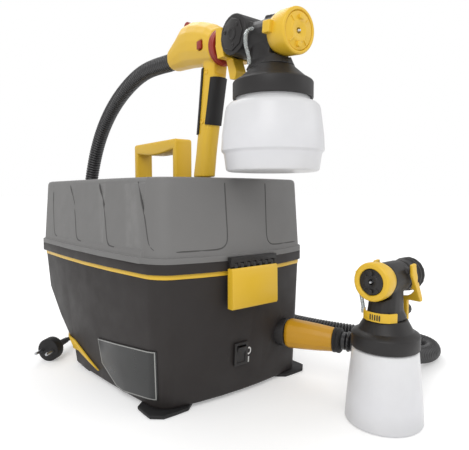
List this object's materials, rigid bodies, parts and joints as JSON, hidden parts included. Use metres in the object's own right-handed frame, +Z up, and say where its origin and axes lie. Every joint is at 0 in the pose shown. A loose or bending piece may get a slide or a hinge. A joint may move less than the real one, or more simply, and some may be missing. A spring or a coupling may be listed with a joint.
{
  "type": "turbine paint sprayer",
  "caption": "Toolbox-shaped turbine paint sprayer with a hinged lid, ribbed air hose, cup spray gun parked on top and a second cup spray head beside it.",
  "frame": {"origin": "on the floor, under the middle of everything but the hose and the mains lead", "axes": "+Z up, the latch side of the base faces -Y, +X to its right"},
  "size_m": [0.5699, 0.805, 0.535],
  "materials": {
    "yellow": "satin yellow moulding",
    "lid_grey": "fine-grained grey moulding",
    "tub_black": "fine-grained warm black moulding",
    "trim_black": "smooth black moulding",
    "rubber": "dull black rubber",
    "red": "satin red moulding",
    "cup_white": "translucent white moulding",
    "clear": "clear tube",
    "steel": "bright turned steel",
    "label": "bare dark plate",
    "foam": "open foam",
    "motor": "cast and turned"
  },
  "bodies": {
    "base": {"tub": "tub_black", "stripe": "yellow", "foot_front_left": "rubber", "foot_front_right": "rubber", "foot_rear_left": "rubber", "foot_rear_right": "rubber", "label_plate": "label", "filter_cover": "yellow", "switch_body": "trim_black", "outlet_collar": "trim_black", "hose_coupling": "yellow", "hose_cuff": "rubber", "fan_housing": "trim_black", "motor": "motor", "air_duct": "trim_black", "deck": "trim_black", "intake_filter": "foam", "hinge_pin": "steel", "head_b": "trim_black", "handle_socket_b": "trim_black", "scale_band_b": "yellow", "fluid_nozzle_b": "steel", "cup_lid_b": "trim_black", "suction_tube_b": "clear", "vent_tube_b": "clear", "air_hose": "rubber", "mains_coil": "rubber", "mains_gland": "rubber", "mains_lead_in": "rubber", "mains_lead_out": "rubber", "plug": "rubber", "plug_pin_left": "steel", "plug_pin_right": "steel"},
    "rotor": {"impeller": "motor", "motor_shaft": "steel"},
    "switch_rocker": {"switch_rocker": "trim_black"},
    "lid": {"lid": "lid_grey", "latch_comb": "trim_black", "carry_handle": "yellow", "head_a": "trim_black", "collar_a": "red", "grip_a": "yellow", "grip_pad_front_a": "rubber", "grip_pad_rear_a": "rubber", "fluid_nozzle_a": "steel", "cup_lid_a": "trim_black", "suction_tube_a": "clear", "vent_tube_a": "clear"},
    "latch": {"latch": "yellow"},
    "trigger_a": {"trigger_a": "yellow"},
    "release_button_a": {"release_button_a": "red"},
    "air_dial_a": {"air_dial_a": "red"},
    "nozzle_a": {"nozzle_ring_a": "yellow", "air_cap_a": "yellow"},
    "cup_a": {"cup_a": "cup_white"},
    "trigger_b": {"trigger_b": "yellow"},
    "flow_dial_b": {"flow_dial_b": "trim_black"},
    "nozzle_b": {"nozzle_ring_b": "yellow", "air_cap_b": "trim_black"},
    "cup_b": {"cup_b": "cup_white"}
  },
  "joints": [
    {"name": "rotor_spin", "type": "hinge", "parent": "base", "child": "rotor", "pos_m": [0.018, 0.03931, 0.028], "axis": [0, 0, 1], "continuous": true},
    {"name": "switch_tilt", "type": "hinge", "parent": "base", "child": "switch_rocker", "pos_m": [-0.007, -0.09496, 0.06019], "axis": [1, 0, 0], "range_deg": [-16, 0]},
    {"name": "lid_hinge", "type": "hinge", "parent": "base", "child": "lid", "pos_m": [0, 0.29731, 0.191], "axis": [-1, 0, 0], "range_deg": [0, 90], "deforming": ["air_hose"]},
    {"name": "latch_swing", "type": "hinge", "parent": "lid", "child": "latch", "pos_m": [0, -0.11569, 0.186], "axis": [-1, 0, 0], "range_deg": [0, 80]},
    {"name": "trigger_a_pull", "type": "hinge", "parent": "lid", "child": "trigger_a", "pos_m": [0, -0.07069, 0.492], "axis": [1, 0, 0], "range_deg": [0, 10], "stiffness_Nm_per_rad": 0.6, "springref_deg": -2.86},
    {"name": "release_button_a_press", "type": "slide", "parent": "lid", "child": "release_button_a", "axis": [1, 0, 0], "range_m": [0, 0.002], "stiffness_N_per_m": 400, "springref_m": -0.0005},
    {"name": "air_dial_a_turn", "type": "hinge", "parent": "lid", "child": "air_dial_a", "pos_m": [0, 0.02931, 0.527], "axis": [1, 0, 0], "range_deg": [0, 270]},
    {"name": "nozzle_a_turn", "type": "hinge", "parent": "lid", "child": "nozzle_a", "pos_m": [0, -0.15169, 0.4685], "axis": [0, 0.9942, 0.108], "range_deg": [0, 90]},
    {"name": "cup_a_turn", "type": "hinge", "parent": "lid", "child": "cup_a", "pos_m": [0, -0.15169, 0.345], "axis": [0, 0, 1], "range_deg": [0, 90]},
    {"name": "trigger_b_pull", "type": "hinge", "parent": "base", "child": "trigger_b", "pos_m": [0.10847, -0.25536, 0.185], "axis": [0.061, -0.9981, 0], "range_deg": [0, 9], "stiffness_Nm_per_rad": 0.6, "springref_deg": -2.86},
    {"name": "flow_dial_b_turn", "type": "hinge", "parent": "trigger_b", "child": "flow_dial_b", "pos_m": [0.13791, -0.25355, 0.13], "axis": [0.9981, 0.061, 0], "range_deg": [0, 270]},
    {"name": "nozzle_b_turn", "type": "hinge", "parent": "base", "child": "nozzle_b", "pos_m": [0.0915, -0.25639, 0.175], "axis": [0.9981, 0.061, 0], "range_deg": [0, 90]},
    {"name": "cup_b_turn", "type": "hinge", "parent": "base", "child": "cup_b", "pos_m": [0.0915, -0.25639, 0.085], "axis": [0, 0, 1], "range_deg": [0, 90]}
  ]
}
